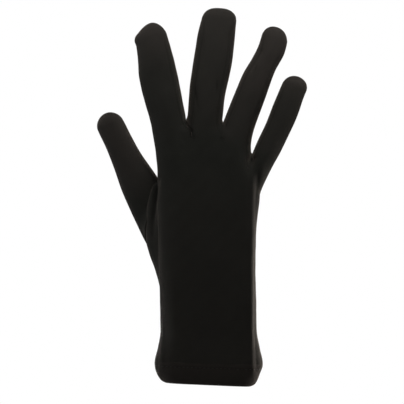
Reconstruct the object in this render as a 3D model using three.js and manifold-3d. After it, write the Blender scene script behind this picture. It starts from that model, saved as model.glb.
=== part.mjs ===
// A thin knitted dress glove for the right hand, drawn over a slim form with its fingers up and spread.
// Units are millimetres. +Z is up, along the fingers, +X is to the little-finger side, and the back of
// the hand faces -Y. The origin is the middle of the wrist opening, where the hand goes in.
//
// The glove is cut and sewn as a real one is: a back with the backs of the four fingers, a palm that
// wraps round both sides, a thumb set into the palm, three forked side strips between the fingers, and
// a turned-up hem. Every piece is a thin wall cut from the same hollow glove, so that they fit together.

import * as THREE from 'three';
import { mergeVertices } from 'three/addons/utils/BufferGeometryUtils.js';
import Module from 'manifold-3d';

// Driving dimensions
const knit = 1.2;              // thickness of the fabric
const hemThickness = 2.4;      // the hem is the fabric turned up, so two layers
const hemHeight = 16.5;
const hemTilt = -0.045;        // the lower edge drops by this much for each millimetre towards +X
const tiltEnds = 60;           // height at which the sections are level again
const seamGap = 0.3;           // clearance between two pieces at a seam
const stripShare = 0.7;        // how much of a finger's width its back and front strips cover
const stripEnd = 5;            // the side strips run out this far below a fingertip
const crotchRise = 9;          // height of a crotch above the point of its fork
const cornerDepth = 8.7;       // the back's side seams run this far in front of the mid plane
const seamCrossing = [118, 145]; // between these heights the side seams move back to the mid plane

// Fineness of the facets
const fingerSides = 18;
const handSides = 36;
const fingerStations = 8;
const tipStations = 4;

// The hand, wrist and hem: horizontal sections from the lower edge up. left and right are the outline
// seen from the back, and depth is half the thickness from back to palm.
const handRows = [
  { height: 1.1, left: -28.4, right: 29.4, depth: 14.6 },
  { height: 4.0, left: -31.8, right: 32.5, depth: 16.0 },
  { height: 9.2, left: -34.5, right: 35.0, depth: 17.2 },
  { height: 16.0, left: -35.1, right: 36.5, depth: 17.8 },
  { height: 25.0, left: -32.7, right: 34.2, depth: 17.2 },
  { height: 35.6, left: -31.0, right: 32.2, depth: 16.4 },
  { height: 55.0, left: -31.4, right: 31.5, depth: 15.8 },
  { height: 83.0, left: -32.0, right: 31.0, depth: 14.8 },
  { height: 104.0, left: -32.5, right: 31.7, depth: 14.2 },
  { height: 125.0, left: -32.9, right: 33.8, depth: 13.4 },
  { height: 143.0, left: -33.1, right: 34.2, depth: 12.2 },
  { height: 158.0, left: -33.4, right: 32.0, depth: 10.4 },
  { height: 174.0, left: -34.2, right: 30.0, depth: 7.6 },
];
const handSquareness = 3.2;    // 2 is an ellipse, more is boxier

// The fold of the palm panel round the root of the thumb, as horizontal sections too
const foldRows = [
  { height: 60.0, left: -29.5, depth: 8.0 },
  { height: 67.5, left: -31.8, depth: 8.5 },
  { height: 78.0, left: -35.2, depth: 9.0 },
  { height: 88.5, left: -39.0, depth: 9.2 },
  { height: 96.0, left: -40.8, depth: 9.2 },
  { height: 108.0, left: -41.2, depth: 9.0 },
  { height: 120.0, left: -40.1, depth: 8.4 },
  { height: 130.5, left: -37.2, depth: 7.6 },
  { height: 139.0, left: -32.5, depth: 6.6 },
];
const foldInner = -12;         // the fold's other side, inside the hand
const foldBack = 3.5;          // how far towards the palm its middle lies

// Each finger runs from its base to its tip in the plane seen from the back. In its rows, along is the
// distance from the base, left and right are the outline either side of that line, and depth is half
// the thickness. back is how far towards the palm the base lies, and curl how much further the tip does.
const fingers = {
  index: {
    base: [-24.4, 162.4], tip: [-37.0, 240.0], back: 0, curl: 5, round: 9.5, squareness: 2,
    rows: [
      { along: -26, left: 9.8, right: 12.0, depth: 8.6 },
      { along: 0, left: 10.6, right: 12.6, depth: 9.4 },
      { along: 16, left: 11.7, right: 11.9, depth: 9.3 },
      { along: 32, left: 13.4, right: 11.3, depth: 9.0 },
      { along: 45, left: 14.1, right: 10.7, depth: 8.7 },
      { along: 58, left: 12.9, right: 9.8, depth: 8.2 },
      { along: 69, left: 12.2, right: 8.5, depth: 7.4 },
      { along: 79, left: 8.6, right: 7.6, depth: 6.6 },
    ],
  },
  middle: {
    base: [-3.6, 162.4], tip: [6.6, 249.8], back: 0, curl: 6, round: 8, squareness: 2.5,
    rows: [
      { along: -26, left: 11.2, right: 11.2, depth: 8.8 },
      { along: 0, left: 11.7, right: 11.6, depth: 9.6 },
      { along: 16, left: 11.7, right: 11.2, depth: 9.5 },
      { along: 32, left: 12.2, right: 11.4, depth: 9.2 },
      { along: 48, left: 12.1, right: 12.9, depth: 8.9 },
      { along: 60, left: 11.5, right: 13.5, depth: 8.5 },
      { along: 74, left: 10.6, right: 13.0, depth: 7.8 },
      { along: 88, left: 8.6, right: 12.6, depth: 7.0 },
    ],
  },
  ring: {
    base: [16.8, 162.4], tip: [42.9, 238.2], back: 0.5, curl: 5.5, round: 8.5, squareness: 2.1,
    rows: [
      { along: -26, left: 10.2, right: 18.0, depth: 8.4 },
      { along: -6, left: 10.3, right: 14.4, depth: 8.8 },
      { along: 0, left: 10.4, right: 11.9, depth: 9.0 },
      { along: 6, left: 10.2, right: 10.8, depth: 9.0 },
      { along: 16, left: 9.8, right: 10.4, depth: 8.8 },
      { along: 32, left: 9.0, right: 10.8, depth: 8.4 },
      { along: 44, left: 7.9, right: 10.8, depth: 8.0 },
      { along: 55, left: 5.7, right: 11.5, depth: 7.7 },
      { along: 65, left: 4.3, right: 13.1, depth: 7.4 },
      { along: 80, left: 5.2, right: 11.8, depth: 6.6 },
    ],
  },
  little: {
    base: [35.0, 147.8], tip: [58.4, 204.9], back: 1.5, curl: 4.5, round: 7.2, squareness: 2.1,
    rows: [
      { along: -30, left: 7.4, right: 6.4, depth: 8.0 },
      { along: -14, left: 7.4, right: 7.0, depth: 8.0 },
      { along: 0, left: 7.4, right: 7.8, depth: 7.9 },
      { along: 11, left: 7.2, right: 9.2, depth: 7.8 },
      { along: 24, left: 6.6, right: 10.2, depth: 7.5 },
      { along: 40, left: 6.6, right: 10.6, depth: 7.0 },
      { along: 52, left: 6.5, right: 10.0, depth: 6.6 },
      { along: 62, left: 5.4, right: 9.9, depth: 6.0 },
    ],
  },
};
const thumb = {
  base: [-33.0, 113.5], tip: [-66.0, 181.2], back: 12.5, curl: -1.5, round: 8, squareness: 2.1,
  rows: [
    { along: -48, left: 6.0, right: 8.0, depth: 3.0 },
    { along: -34, left: 11.8, right: 11.4, depth: 7.4 },
    { along: -18, left: 15.2, right: 12.6, depth: 10.2 },
    { along: 2, left: 15.8, right: 12.0, depth: 10.8 },
    { along: 16, left: 15.2, right: 10.6, depth: 10.4 },
    { along: 28, left: 14.6, right: 9.1, depth: 9.8 },
    { along: 42, left: 12.8, right: 7.0, depth: 8.8 },
    { along: 55, left: 11.8, right: 6.3, depth: 8.2 },
    { along: 67, left: 11.6, right: 6.1, depth: 7.4 },
    { along: 76, left: 10.8, right: 4.8, depth: 6.6 },
  ],
};

// Where each side strip ends in a point on the hand, below the crotch between its two fingers
const forks = [
  { name: 'fork_index_middle', left: fingers.index, right: fingers.middle, point: [-10.5, 163.6] },
  { name: 'fork_middle_ring', left: fingers.middle, right: fingers.ring, point: [9.1, 163.2] },
  { name: 'fork_ring_little', left: fingers.ring, right: fingers.little, point: [28.9, 141.5] },
];

// The hand's own top edge, hidden by the roots of the fingers: level, then falling to the little finger
const handTop = [[-60, 171], [9, 171], [27, 149], [60, 130]];

const wasm = await Module();
wasm.setup();

// A smooth curve through a table: every column at one value of the key column, by cubic Hermite spans
function readTable(rows, key, at) {
  const last = rows.length - 1;
  const slope = (i, column) => {
    const before = rows[Math.max(i - 1, 0)];
    const after = rows[Math.min(i + 1, last)];
    return (after[column] - before[column]) / (after[key] - before[key]);
  };
  let i = 0;
  while (i < last - 1 && at > rows[i + 1][key]) i += 1;
  const span = rows[i + 1][key] - rows[i][key];
  const t = Math.min(Math.max((at - rows[i][key]) / span, 0), 1);
  const read = {};
  for (const column of Object.keys(rows[0])) {
    const from = rows[i][column];
    const to = rows[i + 1][column];
    const a = slope(i, column) * span;
    const b = slope(i + 1, column) * span;
    read[column] = from + a * t + (3 * (to - from) - 2 * a - b) * t ** 2 + (a + b - 2 * (to - from)) * t ** 3;
  }
  return read;
}

// A rounded-square ring of points: offsets across and deep for the unit circle's angles
function ringOffsets(sides, squareness) {
  return Array.from({ length: sides }, (_, i) => {
    const angle = (2 * Math.PI * (i + 0.5)) / sides;
    const bend = (v) => Math.sign(v) * Math.abs(v) ** (2 / squareness);
    return [bend(Math.cos(angle)), bend(Math.sin(angle))];
  });
}

// A closed body through rings of points, all with the same count, with a fan of triangles at each end
function loft(rings) {
  const sides = rings[0].length;
  const points = rings.flat();
  const faces = [];
  for (let r = 0; r + 1 < rings.length; r += 1) {
    for (let s = 0; s < sides; s += 1) {
      const a = r * sides + s;
      const b = r * sides + ((s + 1) % sides);
      faces.push(a, b, a + sides, b, b + sides, a + sides);
    }
  }
  for (const [ring, flip] of [[0, true], [rings.length - 1, false]]) {
    const middle = new THREE.Vector3();
    rings[ring].forEach((p) => middle.addScaledVector(p, 1 / sides));
    const centre = points.push(middle) - 1;
    for (let s = 0; s < sides; s += 1) {
      const a = ring * sides + s;
      const b = ring * sides + ((s + 1) % sides);
      faces.push(centre, flip ? b : a, flip ? a : b);
    }
  }
  const geometry = new THREE.BufferGeometry().setFromPoints(points);
  geometry.setIndex(faces);
  return geometry;
}

// three.js geometry to a solid that can be joined and cut, and back
function solidOf(geometry) {
  const bare = geometry.clone();
  bare.deleteAttribute('normal');
  bare.deleteAttribute('uv');
  const merged = mergeVertices(bare, 1e-4);
  const vertProperties = new Float32Array(merged.attributes.position.array);
  const triVerts = new Uint32Array(merged.index.array);
  return new wasm.Manifold(new wasm.Mesh({ numProp: 3, vertProperties, triVerts }));
}

function geometryOf(solid) {
  const mesh = solid.getMesh();
  const geometry = new THREE.BufferGeometry();
  geometry.setAttribute('position', new THREE.BufferAttribute(new Float32Array(mesh.vertProperties), 3));
  geometry.setIndex(new THREE.BufferAttribute(new Uint32Array(mesh.triVerts), 1));
  const flat = geometry.toNonIndexed();
  flat.computeVertexNormals();
  return flat;
}

// Horizontal rings of the hand, drawn in by inset, sheared near the wrist so that the lower edge tilts
function handSolid(inset, low = handRows[0].height, high = handRows.at(-1).height) {
  const heights = [low, ...handRows.map((row) => row.height).filter((h) => h > low && h < high), high];
  const offsets = ringOffsets(handSides, handSquareness);
  const rings = heights.map((height) => {
    const row = readTable(handRows, 'height', height);
    const middle = (row.left + row.right) / 2;
    const half = (row.right - row.left) / 2 - inset;
    const tilt = hemTilt * Math.max(0, 1 - height / tiltEnds);
    return offsets.map(([across, deep]) => {
      const x = middle + half * across;
      return new THREE.Vector3(x, (row.depth - inset) * deep, height + tilt * x);
    });
  });
  return solidOf(loft(rings)).intersect(underHandTop(inset));
}

function foldSolid(inset) {
  const offsets = ringOffsets(fingerSides, 2);
  const rings = foldRows.map((row) => {
    const half = (foldInner - row.left) / 2 - inset;
    const middle = (foldInner + row.left) / 2;
    return offsets.map(([across, deep]) => {
      const y = foldBack + (row.depth - inset) * deep;
      return new THREE.Vector3(middle + half * across, y, row.height);
    });
  });
  return solidOf(loft(rings));
}

// Where a finger's own line lies, and its outline there, drawn in by inset and rounded off at the tip
function fingerSection(finger, along, inset = 0) {
  const [baseX, baseZ] = finger.base;
  const way = new THREE.Vector2(finger.tip[0] - baseX, finger.tip[1] - baseZ);
  const length = way.length();
  way.normalize();
  const row = readTable(finger.rows, 'along', along);
  const end = length - inset;
  const toTip = Math.max(0, (along - (end - finger.round)) / finger.round);
  const rounding = Math.max(0, 1 - toTip ** finger.squareness) ** (1 / finger.squareness);
  const centre = (row.right - row.left) / 2;
  const curl = finger.back + finger.curl * Math.max(0, along / length) ** 2;
  return {
    half: ((row.left + row.right) / 2 - inset) * rounding,
    depth: (row.depth - inset) * rounding,
    at: (across, deep) => new THREE.Vector3(
      baseX + way.x * along + way.y * (centre + across),
      curl + deep,
      baseZ + way.y * along - way.x * (centre + across),
    ),
    end,
  };
}

function fingerSolid(finger, inset) {
  const low = finger.rows[0].along;
  const { end } = fingerSection(finger, 0, inset);
  const tipStart = end - finger.round;
  const shaft = Array.from({ length: fingerStations }, (_, i) => low + ((tipStart - low) * i) / fingerStations);
  const tip = Array.from({ length: tipStations + 1 }, (_, i) => {
    return tipStart + finger.round * Math.sin((0.92 * Math.PI * i) / (2 * tipStations));
  });
  const offsets = ringOffsets(fingerSides, finger.squareness);
  const rings = [...shaft, ...tip].map((along) => {
    const section = fingerSection(finger, along, inset);
    return offsets.map(([across, deep]) => section.at(section.half * across, section.depth * deep));
  });
  return solidOf(loft(rings));
}

// A flat outline, drawn as seen from the back, made into a block right through the glove
function blockFromBack(points) {
  const shape = new THREE.Shape(points.map(([x, z]) => new THREE.Vector2(x, z)));
  const through = 120;
  const geometry = new THREE.ExtrudeGeometry(shape, { depth: through, bevelEnabled: false });
  return solidOf(geometry.rotateX(Math.PI / 2).translate(0, through / 2, 0));
}

function underHandTop(inset) {
  const edge = handTop.map(([x, z]) => [x - inset * 0.4, z - inset]);
  return blockFromBack([[-60, -40], [60, -40], ...edge.reverse()]);
}

// Everything in front of the side seams, which follow the hand's front corners and then, from the
// roots of the fingers up, its mid plane. shift moves the seams towards the palm.
function frontBlock(shift) {
  const [cornerHeight, middleHeight] = seamCrossing;
  const side = [[-cornerDepth, -40], [-cornerDepth, cornerHeight], [0, middleHeight], [0, 180]];
  const tipSide = [[5.5, 260]];
  const edge = [...side, ...tipSide].map(([y, z]) => new THREE.Vector2(y + shift, z));
  const shape = new THREE.Shape([new THREE.Vector2(-60, -40), ...edge, new THREE.Vector2(-60, 260)]);
  const wide = 200;
  const geometry = new THREE.ExtrudeGeometry(shape, { depth: wide, bevelEnabled: false });
  const turn = new THREE.Matrix4().makeBasis(
    new THREE.Vector3(0, 1, 0),
    new THREE.Vector3(0, 0, 1),
    new THREE.Vector3(1, 0, 0),
  );
  return solidOf(geometry.applyMatrix4(turn).translate(-wide / 2, 0, 0));
}

// The region between two fingers that their side strips cover. It starts at the fork's point on the
// hand, widens from the crotch to the strips' edges, and runs out at the side of each fingertip.
function forkOutline(fork) {
  const [x, z] = fork.point;
  const edgeOf = (finger, side) => {
    const runOut = fingerSection(finger, 0).end - stripEnd;
    const stations = [-10, -3, 4, 12, 22, 34, 46, 58, 70].filter((along) => along < runOut - 5);
    const points = [...stations, runOut].map((along) => {
      const { half, at } = fingerSection(finger, along);
      const lowWidening = 0.05 * Math.max(0, 1 - (at(0, 0).z - z - crotchRise) / 16);
      const highWidening = (1.04 - stripShare) * Math.max(0, (along - runOut + 14) / 14) ** 2;
      return at(side * half * (stripShare + lowWidening + highWidening), 0);
    });
    return points.filter((point) => point.z > z + crotchRise).map((point) => [point.x, point.z]);
  };
  return [[x, z], ...edgeOf(fork.right, -1), ...edgeOf(fork.left, 1).reverse()];
}

// A flat outline drawn in by the same distance all round, its corners kept sharp
function drawnIn(points, inset) {
  const count = points.length;
  return points.map(([x, z], i) => {
    const before = new THREE.Vector2(...points[(i + count - 1) % count]);
    const after = new THREE.Vector2(...points[(i + 1) % count]);
    const here = new THREE.Vector2(x, z);
    const into = here.clone().sub(before).normalize();
    const outOf = after.sub(here).normalize();
    const reach = inset / (1 + into.dot(outOf));
    return [x - (into.y + outOf.y) * reach, z + (into.x + outOf.x) * reach];
  });
}

// The region of the hem, with its top parallel to the tilted lower edge
function hemBlock(top) {
  const block = new THREE.BoxGeometry(160, 160, 100).translate(0, 0, top - 50);
  return solidOf(block.rotateY(-Math.atan(hemTilt * (1 - hemHeight / tiltEnds))));
}

// Joins a list of solids into one
const join = (solids) => solids.reduce((sum, solid) => sum.add(solid));

const fingerList = Object.values(fingers);
const handOut = join([handSolid(0), foldSolid(0), ...fingerList.map((finger) => fingerSolid(finger, 0))]);
const handIn = join([
  handSolid(knit, -10),
  foldSolid(knit),
  ...fingerList.map((finger) => fingerSolid(finger, knit)),
]);
const thumbOut = fingerSolid(thumb, 0);
const thumbIn = fingerSolid(thumb, knit);
const aroundHand = join([
  handSolid(-seamGap),
  foldSolid(-seamGap),
]);

// The hollow glove without its thumb, open at the wrist and where the thumb is set in
const shell = handOut.subtract(handIn).subtract(thumbIn);
const aboveHem = shell.subtract(hemBlock(hemHeight + seamGap));
const gaps = join(forks.map((fork) => blockFromBack(forkOutline(fork))));
const hand = aboveHem.subtract(gaps);

const pieces = {
  back_panel: hand.intersect(frontBlock(-seamGap)),
  palm_panel: hand.subtract(frontBlock(0)),
  thumb_piece: thumbOut.subtract(thumbIn).subtract(aroundHand),
  cuff_hem: handSolid(0).subtract(handSolid(hemThickness, -10)).intersect(hemBlock(hemHeight)),
};
for (const fork of forks) {
  pieces[fork.name] = aboveHem.intersect(blockFromBack(drawnIn(forkOutline(fork), seamGap)));
}

// Matt black knit, a little lighter on the turned hem
const glove = new THREE.Group();
for (const [name, solid] of Object.entries(pieces)) {
  const isHem = name === 'cuff_hem';
  const material = new THREE.MeshStandardMaterial({
    color: isHem ? 0x1c1a19 : 0x181716,
    roughness: 0.95,
    metalness: 0,
  });
  const mesh = new THREE.Mesh(geometryOf(solid), material);
  mesh.name = name;
  glove.add(mesh);
}

export default glove;
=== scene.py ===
# A thin black knitted dress glove for the right hand, fingers up, seen from the back of the hand.
# Shapes are worked out in millimetres and put into the meshes in metres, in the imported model's frame.
import bmesh
import bpy
import numpy as np
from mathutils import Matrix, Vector


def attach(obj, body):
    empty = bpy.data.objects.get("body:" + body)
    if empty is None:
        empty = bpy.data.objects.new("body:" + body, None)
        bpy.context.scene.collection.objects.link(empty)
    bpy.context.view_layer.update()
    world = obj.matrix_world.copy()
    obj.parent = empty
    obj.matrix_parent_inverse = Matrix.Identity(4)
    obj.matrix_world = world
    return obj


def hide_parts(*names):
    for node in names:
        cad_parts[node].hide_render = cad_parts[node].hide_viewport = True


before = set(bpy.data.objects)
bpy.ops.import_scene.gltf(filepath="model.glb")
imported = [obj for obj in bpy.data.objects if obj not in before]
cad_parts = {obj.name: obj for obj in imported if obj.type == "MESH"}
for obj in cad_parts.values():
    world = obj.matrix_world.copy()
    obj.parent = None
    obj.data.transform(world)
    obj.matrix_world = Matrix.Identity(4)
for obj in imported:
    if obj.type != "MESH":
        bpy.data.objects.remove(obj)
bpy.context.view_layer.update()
millimetre = 0.001

stageLook = {
    "framePixels": 404, "mmPerPixel": 0.66, "pixelOfX0": 208, "pixelOfZ0": 386,
    "lens": 200, "sensor": 36, "clip": (0.05, 30), "floorHeight": -0.03, "floorSize": 12,
    "skyLight": 0.04, "floorColour": (0.6, 0.6, 0.6, 1),
}


def linkObject(name, data):
    made = bpy.data.objects.new(name, data)
    bpy.context.collection.objects.link(made)
    return made


def makeCamera(look):
    # level with the middle of the frame, as far back as makes the frame's width fit the glove's plane
    pixel = look["mmPerPixel"] * millimetre
    middle = look["framePixels"] / 2
    away = look["framePixels"] * pixel / look["sensor"] * look["lens"]
    camera = linkObject("camera", bpy.data.cameras.new("camera"))
    camera.data.lens = look["lens"]
    camera.data.sensor_width = look["sensor"]
    camera.data.clip_start, camera.data.clip_end = look["clip"]
    camera.location = ((middle - look["pixelOfX0"]) * pixel, -away, (look["pixelOfZ0"] - middle) * pixel)
    camera.rotation_euler = (np.pi / 2, 0, 0)
    bpy.context.scene.camera = camera


# place, aim and size in metres, power, colour, spread in degrees
lightsLook = {
    "overFingers": ((0.07, -0.22, 0.5), (0.02, 0, 0.23), (0.35, 0.15), 0.54, (1, 0.95, 0.9), 80),
    "overTips": ((0, 0.02, 0.65), (-0.01, 0, 0.2), (0.4, 0.1), 0.12, (1, 0.95, 0.9), 100),
    "rightSide": ((0.6, 0.14, 0.055), (0.03, 0, 0.058), (0.1, 0.1), 0.18, (1, 0.9, 0.84), 18),
    "rightRim": ((0.32, 0.6, 0.25), (0.03, 0, 0.16), (0.3, 0.4), 0.35, (1, 0.66, 0.42), 120),
    "rightHigh": ((0.6, 0.1, 0.16), (0.03, 0, 0.14), (0.1, 0.2), 0.15, (1, 0.94, 0.9), 60),
    "leftSide": ((-0.6, 0.03, 0.16), (-0.03, 0, 0.12), (0.2, 0.5), 0.98, (1, 0.99, 0.99), 120),
    "leftRim": ((-0.42, 0.4, 0.24), (-0.03, 0, 0.17), (0.2, 0.4), 0.28, (1, 0.97, 0.96), 120),
    "leftLow": ((-0.6, 0.08, 0.04), (-0.03, 0, 0.034), (0.05, 0.05), 0.014, (1, 0.98, 0.97), 9),
    "palmFill": ((-0.1, 0.8, 0.35), (0, 0, 0.12), (0.8, 0.6), 2.2, (1, 0.97, 0.94), 180),
}

makeCamera(stageLook)
bpy.context.scene.view_settings.view_transform = "Standard"
print("camera made")

# hand rows: height, left, right, half depth
hand = {
    "rows": [(1.1, -28.2, 28.2, 14.6), (4, -31.4, 31.3, 16), (9.2, -34.1, 33.55, 17.2),
             (16, -34.8, 35.8, 17.8), (25, -32.9, 34.2, 17.2), (35.6, -31, 32.2, 16.4),
             (55, -31.4, 31.5, 15.8), (83, -32, 31, 14.8), (104, -32.5, 31.7, 14.2),
             (125, -32.9, 33.8, 13.4), (143, -33.1, 34.2, 12.2), (158, -33.4, 32, 10.4),
             (174, -34.2, 30, 7.6)],
    "squareness": 3.2, "frontSquareness": 4.8, "frontEnds": (104, 150),
    "tilt": -0.045, "tiltEnds": 60,
    # the top edge: x, height and how far below it the rounding starts
    "top": [(-60, 172.4, 7), (4, 172.4, 7), (13, 171, 9), (20, 163, 14), (27, 151.5, 20),
            (33, 146, 20), (60, 130, 20)],
    "hemTop": 16.6,
}
# the fold of the palm at the thumb's root, rows: height, left, half depth
fold = {
    "rows": [(60, -29.5, 8), (67.5, -31.8, 8.6), (78, -35.2, 9.2), (88.5, -39, 9.3),
             (96, -40.8, 9.3), (108, -41.2, 9.1), (120, -40.1, 8.4), (130.5, -37.2, 7.2),
             (139, -32.5, 5.6)],
    "inner": -12, "back": 3.5, "lowEnd": 60, "highEnd": 139, "ends": 8,
}
# finger rows: along the finger, left, right, half depth
fingers = {
    "index": {"base": (-24.4, 162.4), "tip": (-37, 240), "back": 0, "curl": 5,
              "round": 9.5, "squareness": 2,
              "rows": [(-26, 9.8, 12, 9.6), (-12, 10.2, 12.3, 10.7), (0, 10.6, 12.6, 10.3),
                       (16, 11.7, 11.9, 9.5), (32, 13.4, 11.3, 9), (45, 14.1, 10.7, 8.7),
                       (58, 12.9, 9.8, 8.2), (69, 12.2, 8.5, 7.4), (79, 8.6, 7.6, 6.6)]},
    "middle": {"base": (-3.6, 162.4), "tip": (6.6, 249.8), "back": 0, "curl": 6,
               "round": 8, "squareness": 2.5,
               "rows": [(-26, 11.2, 11.2, 9.6), (-12, 11.4, 11.4, 10.8), (0, 11.7, 11.6, 10.4),
                        (16, 11.7, 11.2, 9.7), (32, 12.2, 11.4, 9.2), (48, 12.1, 12.9, 8.9),
                        (60, 11.5, 13.5, 8.5), (74, 10.6, 13, 7.8), (88, 8.6, 12.6, 7)]},
    "ring": {"base": (16.8, 162.4), "tip": (42.9, 238.2), "back": 0.5, "curl": 5.5,
             "round": 8.5, "squareness": 2.1,
             "rows": [(-26, 10.2, 18, 10.4), (-14, 10.2, 16.2, 11.9), (-6, 10.3, 14.4, 11.6),
                      (0, 10.4, 11.9, 10.9), (6, 10.2, 10.8, 10.3), (16, 9.8, 10.4, 9.2),
                      (32, 9, 10.8, 8.4), (44, 7.9, 10.8, 8), (55, 5.7, 11.5, 7.7),
                      (65, 4.3, 13.1, 7.4), (80, 5.2, 11.8, 6.6)]},
    "little": {"base": (35, 147.8), "tip": (58.4, 204.9), "back": 1.5, "curl": 4.5,
               "round": 7.2, "squareness": 2.1,
               "rows": [(-44, 5, 2, 4), (-30, 7, 4.4, 7.6), (-14, 7.4, 7, 10.6),
                        (0, 7.4, 7.8, 10), (11, 7.2, 9.2, 8.6), (24, 6.6, 10.2, 7.5),
                        (40, 6.6, 10.6, 7), (52, 6.5, 10, 6.6), (62, 5.4, 9.9, 6)]},
}
thumb = {
    "base": (-33, 113.5), "tip": (-66, 181.2), "back": 12.5, "curl": -1.5,
    "round": 8, "squareness": 2.1, "lowEnd": -42,
    "rows": [(-48, 6, 8, 3), (-34, 11.8, 11.4, 7.4), (-18, 15.2, 12.6, 10.2),
             (2, 15.8, 12, 10.8), (16, 15.2, 10.6, 10.4), (28, 14.6, 9.1, 9.8),
             (42, 12.8, 7, 8.8), (55, 11.8, 6.3, 8.2), (67, 11.6, 6.1, 7.4), (76, 10.8, 4.8, 6.6)],
}
# painted light, partly lint: how much lighter the knit is painted, most towards the tips of the fingers and
# thumb and at the wrist, least at the knuckles, standing for how the light falls; run up the hand and along
# each finger, and share
worn = {
    "hand": [(0, 0.36), (20, 0.29), (60, 0.22), (110, 0.19), (135, 0.07), (152, 0)],
    "index": [(162, 0.02), (176, 0.1), (192, 0.13), (208, 0.15), (216, 0.3), (224, 0.45), (240, 0.68)],
    "middle": [(162, 0), (168, 0.08), (184, 0.24), (222, 0.3), (246, 0.45)],
    "ring": [(158, 0), (168, 0.24), (192, 0.4), (201, 0.56), (240, 0.68)],
    "little": [(152, 0.02), (158, 0.18), (188, 0.26), (195, 0.36), (206, 0.7)],
    "thumb": [(-48, 0.15), (-2, 0), (14, 0.12), (22, 0.3), (30, 0.45), (50, 0.55), (66, 0.66),
              (76, 0.55)],
}
# where the seams run, as (x, height), and how their lines pass from one form to the next
sewing = {
    "forkPoints": [(-10.5, 163.6), (9.1, 163.6), (28.9, 141.3)],
    "crotches": [(-14.3, 173.6), (9.8, 173.6), (28.7, 151.8)],
    "stripShare": 0.7, "rootWiden": 0.05, "rootOver": 16,
    "runOut": 5, "tipWiden": 0.34, "tipOver": 14, "meetOver": 9,
    "leftSeam": [(16, -30.8), (40, -30.6), (67, -31.3), (120, -32.4), (180, -32.4)],
    "rightSeam": [(16, 29.6), (40, 29), (120, 28.9), (180, 28.9)],
    "crossing": (112, 146), "leastDepth": 4, "formulaFrom": 34,
}
# how softly the forms run into each other, and the rounding of the fingers' low ends
joins = {
    "fold": 1.6, "neighbours": 0.8, "roots": 2.2, "lowRound": 6,
    "fillet": 3.2, "filletEnds": (106, 124), "filletDepths": (5, 9), "leastFillet": 0.5,
}
# steps of the searches for a surface
search = {"nudge": 0.04, "leastSlope": 0.05, "longestStep": 3, "farthest": 70, "halvings": 22,
          "fanReach": 24, "fanStep": 0.2, "fanHalvings": 12}


def evenTable(rows, step=0.25):
    # rows read at even steps, on cubic Hermite spans whose slopes are the chords of each row's neighbours
    data = np.array(rows, float)
    key = data[:, 0]
    chord = np.vstack([data[1:], data[-1:]]) - np.vstack([data[:1], data[:-1]])
    slope = chord / chord[:, :1]
    at = np.arange(key[0], key[-1] + step, step)
    i = np.clip(np.searchsorted(key, at, side="right") - 1, 0, len(key) - 2)
    span = (key[i + 1] - key[i])[:, None]
    t = np.clip((at - key[i])[:, None] / span, 0, 1)
    a, b = slope[i] * span, slope[i + 1] * span
    rise = data[i + 1] - data[i]
    values = data[i] + a * t + (3 * rise - 2 * a - b) * t ** 2 + (a + b - 2 * rise) * t ** 3
    return {"start": key[0], "step": step, "values": values[:, 1:]}


def blend(first, second, share):
    return first * (1 - share) + second * share


def bell(far, height, width):
    return height * np.exp(-(far / width) ** 2)


def smoothStep(low, high, value):
    t = np.clip((value - low) / (high - low), 0, 1)
    return t * t * (3 - 2 * t)


def smoothMin(a, b, reach):
    share = np.clip(0.5 + 0.5 * (b - a) / reach, 0, 1)
    return blend(b, a, share) - reach * share * (1 - share)


def powerSum(parts, power):
    return np.sum([np.maximum(part, 1e-9) ** power for part in parts], axis=0) ** (1 / power)


def readTable(table, at):
    # straight between the even samples on either side, and level past the ends
    place = np.clip((at - table["start"]) / table["step"], 0, len(table["values"]) - 1.001)
    i = place.astype(int)
    return np.moveaxis(blend(table["values"][i], table["values"][i + 1], (place - i)[..., None]), -1, 0)


names = list(fingers)
for shape in (hand, fold, thumb, *fingers.values()):
    shape["table"] = evenTable(shape["rows"])
handTop = evenTable(hand["top"])
paintedLightTables = {name: evenTable(worn[name] if name == "thumb" else worn["hand"] + worn[name])
              for name in (*names, "thumb")}
seamTables = [evenTable(sewing[key]) for key in ("leftSeam", "rightSeam")]
for order, finger in enumerate((*fingers.values(), thumb)):
    reach = np.subtract(finger["tip"], finger["base"])
    finger["order"] = order
    finger["length"] = float(np.hypot(*reach))
    finger["way"] = reach / finger["length"]
    finger["side"] = np.array([finger["way"][1], -finger["way"][0]])


def heightOf(p):
    # undoes the tilt of the lower edge: z = height + tilt * (1 - height / tiltEnds) * x
    x, z = p[..., 0], p[..., 2]
    lean = hand["tilt"] * x
    return np.where(z < hand["tiltEnds"], (z - lean) / (1 - lean / hand["tiltEnds"]), z)


def levelZ(height, x):
    return height + hand["tilt"] * np.maximum(0, 1 - height / hand["tiltEnds"]) * x


def frontPower(height):
    # the back of the hand has squarer corners than the palm, except near the fingers
    plain = smoothStep(*hand["frontEnds"], height)
    return hand["frontSquareness"] + (hand["squareness"] - hand["frontSquareness"]) * plain


def handField(p):
    # power sum of the three shares, across, deep and past the top, less one, times the half depth
    height = heightOf(p)
    left, right, depth = readTable(hand["table"], height)
    across = np.abs(p[..., 0] - (left + right) / 2) / ((right - left) / 2)
    top, rounding = readTable(handTop, p[..., 0])
    over = (height - top + rounding) / rounding
    power = np.where(p[..., 1] < 0, frontPower(height), hand["squareness"])
    return (powerSum([across, np.abs(p[..., 1]) / depth, over], power) - 1) * depth


def foldField(p):
    left, depth = readTable(fold["table"], p[..., 2])
    across = (p[..., 0] - (left + fold["inner"]) / 2) / ((fold["inner"] - left) / 2)
    deep = (p[..., 1] - fold["back"]) / depth
    over = (p[..., 2] - fold["highEnd"] + fold["ends"]) / fold["ends"]
    under = (fold["lowEnd"] + fold["ends"] - p[..., 2]) / fold["ends"]
    return (powerSum([np.abs(across), np.abs(deep), over, under], 2) - 1) * depth


def fingerMiddle(finger, along):
    return finger["back"] + finger["curl"] * np.maximum(0, along / finger["length"]) ** 2


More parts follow.
